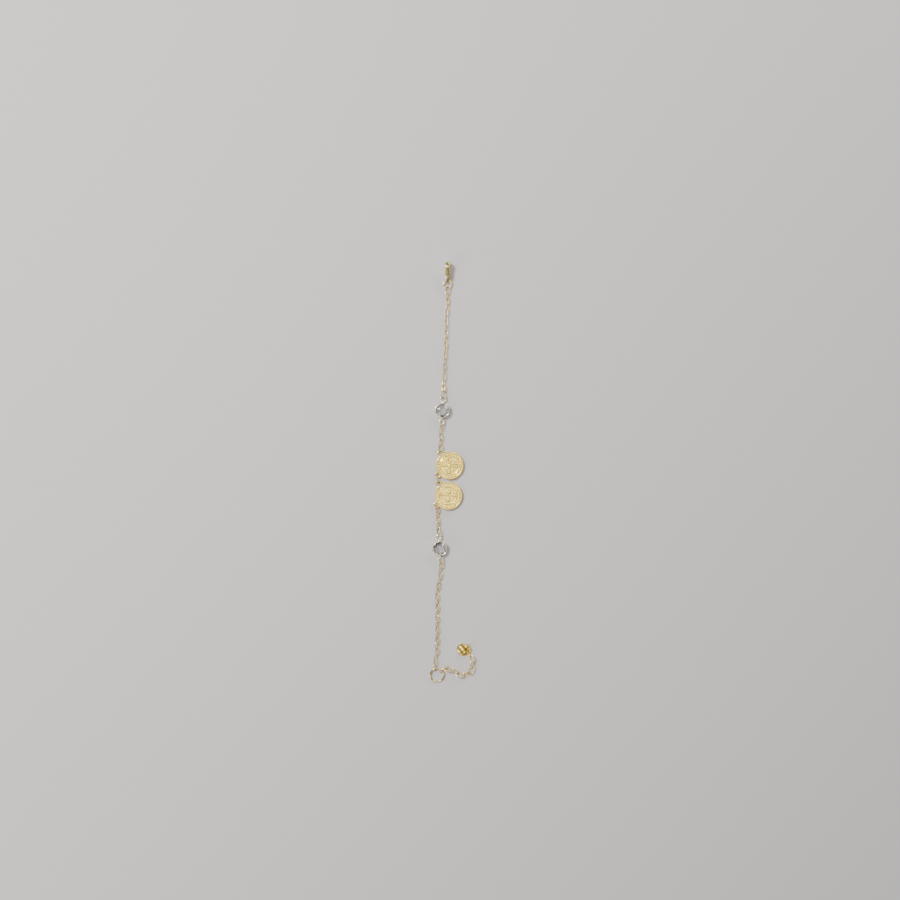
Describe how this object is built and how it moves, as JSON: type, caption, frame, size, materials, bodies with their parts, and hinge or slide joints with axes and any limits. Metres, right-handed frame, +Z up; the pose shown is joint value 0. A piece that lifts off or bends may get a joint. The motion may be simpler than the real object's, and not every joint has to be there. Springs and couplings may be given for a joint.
{
  "type": "charm bracelet chain",
  "caption": "Fine gold-tone cable chain bracelet with lobster clasp, faceted crystal settings, edge-hung disc medals, end ring, extender chain and ribbed charm.",
  "frame": {"origin": "middle of the laid-out chain's bounding box, on the surface it lies on", "axes": "+Y along the chain towards the clasp, +Z up from the surface, +X to the side the extender turns to"},
  "size_m": [0.02, 0.1846, 0.0046],
  "materials": {
    "chain_gold": "polished, gold plated",
    "clasp_gold": "polished, gold plated",
    "medal_gold": "polished, gold plated",
    "setting_gold": "polished, gold plated",
    "crystal": "clear, faceted",
    "spring_steel": "bright"
  },
  "bodies": {
    "upper_medal": {"upper_medal": "medal_gold"},
    "upper_short_link_5": {"upper_short_link_5": "chain_gold"},
    "medal_link": {"medal_link": "chain_gold"},
    "upper_short_link_4": {"upper_short_link_4": "chain_gold"},
    "lower_medal": {"lower_medal": "medal_gold"},
    "upper_short_link_3": {"upper_short_link_3": "chain_gold"},
    "lower_short_link_1": {"lower_short_link_1": "chain_gold"},
    "upper_short_link_2": {"upper_short_link_2": "chain_gold"},
    "lower_short_link_2": {"lower_short_link_2": "chain_gold"},
    "upper_short_link_1": {"upper_short_link_1": "chain_gold"},
    "lower_short_link_3": {"lower_short_link_3": "chain_gold"},
    "upper_crystal_setting": {"upper_crystal": "crystal", "upper_crystal_setting": "setting_gold"},
    "lower_short_link_4": {"lower_short_link_4": "chain_gold"},
    "upper_connector_ring": {"upper_connector_ring": "chain_gold"},
    "lower_short_link_5": {"lower_short_link_5": "chain_gold"},
    "upper_chain_10": {"upper_chain_10": "chain_gold"},
    "lower_crystal_setting": {"lower_crystal": "crystal", "lower_crystal_setting": "setting_gold"},
    "upper_chain_09": {"upper_chain_09": "chain_gold"},
    "lower_connector_link": {"lower_connector_link": "chain_gold"},
    "upper_chain_08": {"upper_chain_08": "chain_gold"},
    "lower_chain_01": {"lower_chain_01": "chain_gold"},
    "upper_chain_07": {"upper_chain_07": "chain_gold"},
    "lower_chain_02": {"lower_chain_02": "chain_gold"},
    "upper_chain_06": {"upper_chain_06": "chain_gold"},
    "lower_chain_03": {"lower_chain_03": "chain_gold"},
    "upper_chain_05": {"upper_chain_05": "chain_gold"},
    "lower_chain_04": {"lower_chain_04": "chain_gold"},
    "upper_chain_04": {"upper_chain_04": "chain_gold"},
    "lower_chain_05": {"lower_chain_05": "chain_gold"},
    "upper_chain_03": {"upper_chain_03": "chain_gold"},
    "lower_chain_06": {"lower_chain_06": "chain_gold"},
    "upper_chain_02": {"upper_chain_02": "chain_gold"},
    "lower_chain_07": {"lower_chain_07": "chain_gold"},
    "upper_chain_01": {"upper_chain_01": "chain_gold"},
    "lower_chain_08": {"lower_chain_08": "chain_gold"},
    "clasp_jump_ring": {"clasp_jump_ring": "chain_gold"},
    "lower_chain_09": {"lower_chain_09": "chain_gold"},
    "clasp_body": {"clasp_body": "clasp_gold", "clasp_rivet": "clasp_gold", "clasp_spring": "spring_steel"},
    "lower_chain_10": {"lower_chain_10": "chain_gold"},
    "clasp_lever": {"clasp_lever": "clasp_gold"},
    "end_ring": {"end_ring": "chain_gold"},
    "extender_link_1": {"extender_link_1": "chain_gold"},
    "extender_link_2": {"extender_link_2": "chain_gold"},
    "extender_link_3": {"extender_link_3": "chain_gold"},
    "extender_link_4": {"extender_link_4": "chain_gold"},
    "extender_link_5": {"extender_link_5": "chain_gold"},
    "extender_link_6": {"extender_link_6": "chain_gold"},
    "extender_link_7": {"extender_link_7": "chain_gold"},
    "extender_link_8": {"extender_link_8": "chain_gold"},
    "charm_ring": {"charm_ring": "chain_gold"},
    "shell_charm": {"shell_charm": "medal_gold"}
  },
  "joints": [
    {"name": "upper_short_link_5_swing", "type": "hinge", "parent": "upper_medal", "child": "upper_short_link_5", "pos_m": [-0.00528, 0.00813, 0.0009], "axis": [0, 0, 1], "range_deg": [-30, 60]},
    {"name": "medal_link_swing", "type": "hinge", "parent": "upper_medal", "child": "medal_link", "pos_m": [-0.00633, -0.00114, 0.0009], "axis": [0, 0, 1], "range_deg": [-60, 10]},
    {"name": "upper_short_link_4_swing", "type": "hinge", "parent": "upper_short_link_5", "child": "upper_short_link_4", "pos_m": [-0.00522, 0.01151, 0.00096], "axis": [0, 0, -1], "range_deg": [-35, 35]},
    {"name": "lower_medal_swing", "type": "hinge", "parent": "medal_link", "child": "lower_medal", "pos_m": [-0.00587, -0.0052, 0.0009], "axis": [0, 0, -1], "range_deg": [-12, 60]},
    {"name": "upper_short_link_3_swing", "type": "hinge", "parent": "upper_short_link_4", "child": "upper_short_link_3", "pos_m": [-0.00517, 0.01421, 0.00092], "axis": [0, 0, -1], "range_deg": [-35, 35]},
    {"name": "lower_short_link_1_swing", "type": "hinge", "parent": "lower_medal", "child": "lower_short_link_1", "pos_m": [-0.00688, -0.01448, 0.0009], "axis": [0, 0, 1], "range_deg": [-60, 15]},
    {"name": "upper_short_link_2_swing", "type": "hinge", "parent": "upper_short_link_3", "child": "upper_short_link_2", "pos_m": [-0.00509, 0.01659, 0.00085], "axis": [0, 0, 1], "range_deg": [-40, 35]},
    {"name": "lower_short_link_2_swing", "type": "hinge", "parent": "lower_short_link_1", "child": "lower_short_link_2", "pos_m": [-0.00645, -0.01753, 0.0008], "axis": [0, 0, -1], "range_deg": [-40, 30]},
    {"name": "upper_short_link_1_swing", "type": "hinge", "parent": "upper_short_link_2", "child": "upper_short_link_1", "pos_m": [-0.00488, 0.01897, 0.001], "axis": [0, 0, 1], "range_deg": [-35, 35]},
    {"name": "lower_short_link_3_swing", "type": "hinge", "parent": "lower_short_link_2", "child": "lower_short_link_3", "pos_m": [-0.00641, -0.01992, 0.00077], "axis": [0, 0, -1], "range_deg": [-35, 35]},
    {"name": "upper_crystal_setting_swing", "type": "hinge", "parent": "upper_short_link_1", "child": "upper_crystal_setting", "pos_m": [-0.00467, 0.02203, 0.00126], "axis": [0, 0, -1], "range_deg": [-60, 60]},
    {"name": "lower_short_link_4_swing", "type": "hinge", "parent": "lower_short_link_3", "child": "lower_short_link_4", "pos_m": [-0.00633, -0.02229, 0.00092], "axis": [0, 0, 1], "range_deg": [-35, 35]},
    {"name": "upper_connector_ring_swing", "type": "hinge", "parent": "upper_crystal_setting", "child": "upper_connector_ring", "pos_m": [-0.00401, 0.03221, 0.00126], "axis": [0, 0, -1], "range_deg": [-60, 60]},
    {"name": "lower_short_link_5_swing", "type": "hinge", "parent": "lower_short_link_4", "child": "lower_short_link_5", "pos_m": [-0.00614, -0.02499, 0.00095], "axis": [0, 0, 1], "range_deg": [-35, 35]},
    {"name": "upper_chain_10_swing", "type": "hinge", "parent": "upper_connector_ring", "child": "upper_chain_10", "pos_m": [-0.00389, 0.03553, 0.00126], "axis": [0, 0, 1], "range_deg": [-35, 30]},
    {"name": "lower_crystal_setting_swing", "type": "hinge", "parent": "lower_short_link_5", "child": "lower_crystal_setting", "pos_m": [-0.00594, -0.02835, 0.00126], "axis": [0, 0, -1], "range_deg": [-60, 60]},
    {"name": "upper_chain_09_swing", "type": "hinge", "parent": "upper_chain_10", "child": "upper_chain_09", "pos_m": [-0.00377, 0.04026, 0.00077], "axis": [0, 0, 1], "range_deg": [-35, 35]},
    {"name": "lower_connector_link_swing", "type": "hinge", "parent": "lower_crystal_setting", "child": "lower_connector_link", "pos_m": [-0.00506, -0.03851, 0.00126], "axis": [0, 0, -1], "range_deg": [-60, 60]},
    {"name": "upper_chain_08_swing", "type": "hinge", "parent": "upper_chain_09", "child": "upper_chain_08", "pos_m": [-0.00348, 0.04503, 0.00077], "axis": [0, 0, -1], "range_deg": [-35, 35]},
    {"name": "lower_chain_01_swing", "type": "hinge", "parent": "lower_connector_link", "child": "lower_chain_01", "pos_m": [-0.00491, -0.04187, 0.00086], "axis": [0, 0, 1], "range_deg": [-25, 45]},
    {"name": "upper_chain_07_swing", "type": "hinge", "parent": "upper_chain_08", "child": "upper_chain_07", "pos_m": [-0.00331, 0.04981, 0.00077], "axis": [0, 0, -1], "range_deg": [-35, 35]},
    {"name": "lower_chain_02_swing", "type": "hinge", "parent": "lower_chain_01", "child": "lower_chain_02", "pos_m": [-0.00549, -0.0466, 0.00077], "axis": [0, 0, 1], "range_deg": [-35, 35]},
    {"name": "upper_chain_06_swing", "type": "hinge", "parent": "upper_chain_07", "child": "upper_chain_06", "pos_m": [-0.003, 0.05458, 0.00077], "axis": [0, 0, 1], "range_deg": [-35, 35]},
    {"name": "lower_chain_03_swing", "type": "hinge", "parent": "lower_chain_02", "child": "lower_chain_03", "pos_m": [-0.00648, -0.05128, 0.00077], "axis": [0, 0, -1], "range_deg": [-35, 35]},
    {"name": "upper_chain_05_swing", "type": "hinge", "parent": "upper_chain_06", "child": "upper_chain_05", "pos_m": [-0.00285, 0.05936, 0.00077], "axis": [0, 0, 1], "range_deg": [-35, 35]},
    {"name": "lower_chain_04_swing", "type": "hinge", "parent": "lower_chain_03", "child": "lower_chain_04", "pos_m": [-0.00669, -0.05605, 0.00077], "axis": [0, 0, -1], "range_deg": [-35, 35]},
    {"name": "upper_chain_04_swing", "type": "hinge", "parent": "upper_chain_05", "child": "upper_chain_04", "pos_m": [-0.00269, 0.06413, 0.00077], "axis": [0, 0, -1], "range_deg": [-35, 35]},
    {"name": "lower_chain_05_swing", "type": "hinge", "parent": "lower_chain_04", "child": "lower_chain_05", "pos_m": [-0.00669, -0.06083, 0.00077], "axis": [0, 0, 1], "range_deg": [-35, 35]},
    {"name": "upper_chain_03_swing", "type": "hinge", "parent": "upper_chain_04", "child": "upper_chain_03", "pos_m": [-0.00262, 0.06891, 0.00077], "axis": [0, 0, -1], "range_deg": [-35, 35]},
    {"name": "lower_chain_06_swing", "type": "hinge", "parent": "lower_chain_05", "child": "lower_chain_06", "pos_m": [-0.00667, -0.06561, 0.00077], "axis": [0, 0, 1], "range_deg": [-35, 35]},
    {"name": "upper_chain_02_swing", "type": "hinge", "parent": "upper_chain_03", "child": "upper_chain_02", "pos_m": [-0.00212, 0.07366, 0.00077], "axis": [0, 0, 1], "range_deg": [-35, 35]},
    {"name": "lower_chain_07_swing", "type": "hinge", "parent": "lower_chain_06", "child": "lower_chain_07", "pos_m": [-0.00669, -0.07039, 0.00077], "axis": [0, 0, -1], "range_deg": [-35, 35]},
    {"name": "upper_chain_01_swing", "type": "hinge", "parent": "upper_chain_02", "child": "upper_chain_01", "pos_m": [-0.00204, 0.07844, 0.00089], "axis": [0, 0, 1], "range_deg": [-35, 35]},
    {"name": "lower_chain_08_swing", "type": "hinge", "parent": "lower_chain_07", "child": "lower_chain_08", "pos_m": [-0.00669, -0.07517, 0.00077], "axis": [0, 0, -1], "range_deg": [-35, 35]},
    {"name": "clasp_jump_ring_slide_round", "type": "hinge", "parent": "upper_chain_01", "child": "clasp_jump_ring", "pos_m": [-0.00206, 0.08249, 0.00093], "axis": [0, 0, -1], "range_deg": [-60, 60]},
    {"name": "lower_chain_09_swing", "type": "hinge", "parent": "lower_chain_08", "child": "lower_chain_09", "pos_m": [-0.00686, -0.07994, 0.00077], "axis": [0, 0, 1], "range_deg": [-35, 35]},
    {"name": "clasp_flip", "type": "hinge", "parent": "clasp_jump_ring", "child": "clasp_body", "pos_m": [-0.00206, 0.08422, 0.001], "axis": [1, 0, 0], "range_deg": [0, 95]},
    {"name": "lower_chain_10_swing", "type": "hinge", "parent": "lower_chain_09", "child": "lower_chain_10", "pos_m": [-0.00764, -0.08465, 0.00084], "axis": [0, 0, -1], "range_deg": [-25, 45]},
    {"name": "clasp_lever_press", "type": "hinge", "parent": "clasp_body", "child": "clasp_lever", "pos_m": [-0.00206, 0.08739, 0.00259], "axis": [1, 0, 0], "range_deg": [-28, 0], "stiffness_Nm_per_rad": 0.002, "springref_deg": 8.59, "deforming": ["clasp_spring"]},
    {"name": "end_ring_swing", "type": "hinge", "parent": "lower_chain_10", "child": "end_ring", "pos_m": [-0.00671, -0.08907, 0.00067], "axis": [0, 0, 1], "range_deg": [-35, 20]},
    {"name": "extender_link_1_swing", "type": "hinge", "parent": "end_ring", "child": "extender_link_1", "pos_m": [-0.00491, -0.08745, 0.00093], "axis": [0, 0, 1], "range_deg": [-20, 30]},
    {"name": "extender_link_2_swing", "type": "hinge", "parent": "extender_link_1", "child": "extender_link_2", "pos_m": [-0.00267, -0.0863, 0.00099], "axis": [0, 0, -1], "range_deg": [-35, 10]},
    {"name": "extender_link_3_swing", "type": "hinge", "parent": "extender_link_2", "child": "extender_link_3", "pos_m": [0.00003, -0.08673, 0.00089], "axis": [0, 0, 1], "range_deg": [-20, 40]},
    {"name": "extender_link_4_swing", "type": "hinge", "parent": "extender_link_3", "child": "extender_link_4", "pos_m": [0.0021, -0.08853, 0.00089], "axis": [0, 0, -1], "range_deg": [-10, 60]},
    {"name": "extender_link_5_swing", "type": "hinge", "parent": "extender_link_4", "child": "extender_link_5", "pos_m": [0.00476, -0.08919, 0.00089], "axis": [0, 0, 1], "range_deg": [-60, 10]},
    {"name": "extender_link_6_swing", "type": "hinge", "parent": "extender_link_5", "child": "extender_link_6", "pos_m": [0.00732, -0.08821, 0.00089], "axis": [0, 0, -1], "range_deg": [-10, 60]},
    {"name": "extender_link_7_swing", "type": "hinge", "parent": "extender_link_6", "child": "extender_link_7", "pos_m": [0.00889, -0.08596, 0.00089], "axis": [0, 0, 1], "range_deg": [-60, 10]},
    {"name": "extender_link_8_swing", "type": "hinge", "parent": "extender_link_7", "child": "extender_link_8", "pos_m": [0.00899, -0.08323, 0.00089], "axis": [0, 0, -1], "range_deg": [-20, 55]},
    {"name": "charm_ring_swing", "type": "hinge", "parent": "extender_link_8", "child": "charm_ring", "pos_m": [0.00813, -0.08059, 0.00095], "axis": [0, 0, 1], "range_deg": [-60, 30]},
    {"name": "shell_charm_swing", "type": "hinge", "parent": "charm_ring", "child": "shell_charm", "pos_m": [0.00719, -0.07947, 0.00085], "axis": [0, 0, -1], "range_deg": [-45, 55]}
  ]
}
